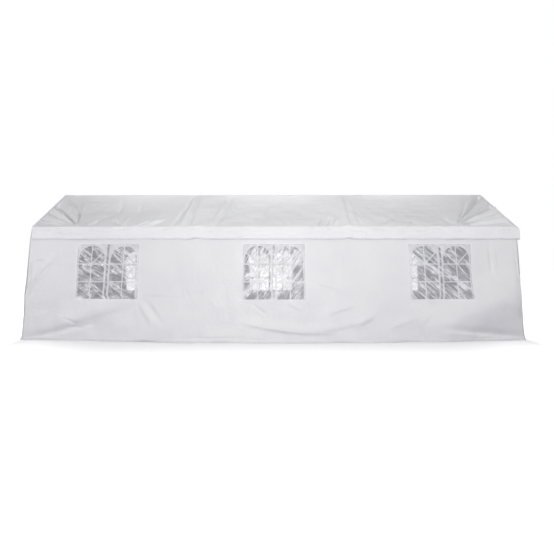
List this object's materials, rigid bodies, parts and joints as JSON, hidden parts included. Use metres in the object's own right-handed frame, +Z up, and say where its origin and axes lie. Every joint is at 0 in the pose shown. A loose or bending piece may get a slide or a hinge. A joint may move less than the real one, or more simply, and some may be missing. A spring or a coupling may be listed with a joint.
{
  "type": "marquee tent",
  "caption": "Gable-roofed party tent: steel tube frame, white roof cover with valance, walls with twin-arched film windows and zipped end doors.",
  "frame": {"origin": "middle of the tent's footprint, on the level ground that its feet stand on", "axes": "+X along the ridge, to the right as seen from the front; the front long wall faces -Y; +Z up"},
  "size_m": [9.4682, 3.789, 2.9093],
  "materials": {
    "roof_cloth": "white woven polyethylene sheet, satin, with soft folds",
    "wall_cloth": "white woven polyethylene sheet, satin, lightly creased",
    "window_film": "clear plastic film with a white printed lattice of twin arches, rippled",
    "frame_tube": "white powder-coated steel tube, semi-gloss",
    "frame_joint": "white powder-coated steel joint, semi-gloss"
  },
  "bodies": {
    "root": {"roof_cover": "roof_cloth", "front_wall_1": "wall_cloth", "front_wall_2": "wall_cloth", "front_wall_3": "wall_cloth", "back_wall_1": "wall_cloth", "back_wall_2": "wall_cloth", "back_wall_3": "wall_cloth", "left_end_wall": "wall_cloth", "right_end_wall": "wall_cloth", "left_end_door": "wall_cloth", "right_end_door": "wall_cloth", "front_window_1": "window_film", "front_window_2": "window_film", "front_window_3": "window_film", "back_window_1": "window_film", "back_window_2": "window_film", "back_window_3": "window_film", "leg_front_1": "frame_tube", "leg_front_2": "frame_tube", "leg_front_3": "frame_tube", "leg_front_4": "frame_tube", "leg_back_1": "frame_tube", "leg_back_2": "frame_tube", "leg_back_3": "frame_tube", "leg_back_4": "frame_tube", "eave_joint_front_1": "frame_joint", "eave_joint_front_2": "frame_joint", "eave_joint_front_3": "frame_joint", "eave_joint_front_4": "frame_joint", "eave_joint_back_1": "frame_joint", "eave_joint_back_2": "frame_joint", "eave_joint_back_3": "frame_joint", "eave_joint_back_4": "frame_joint", "rafter_pair_1": "frame_tube", "rafter_pair_2": "frame_tube", "rafter_pair_3": "frame_tube", "rafter_pair_4": "frame_tube", "ridge_tube_1": "frame_tube", "ridge_tube_2": "frame_tube", "ridge_tube_3": "frame_tube", "eave_tube_front_1": "frame_tube", "eave_tube_front_2": "frame_tube", "eave_tube_front_3": "frame_tube", "eave_tube_back_1": "frame_tube", "eave_tube_back_2": "frame_tube", "eave_tube_back_3": "frame_tube"}
  },
  "joints": []
}
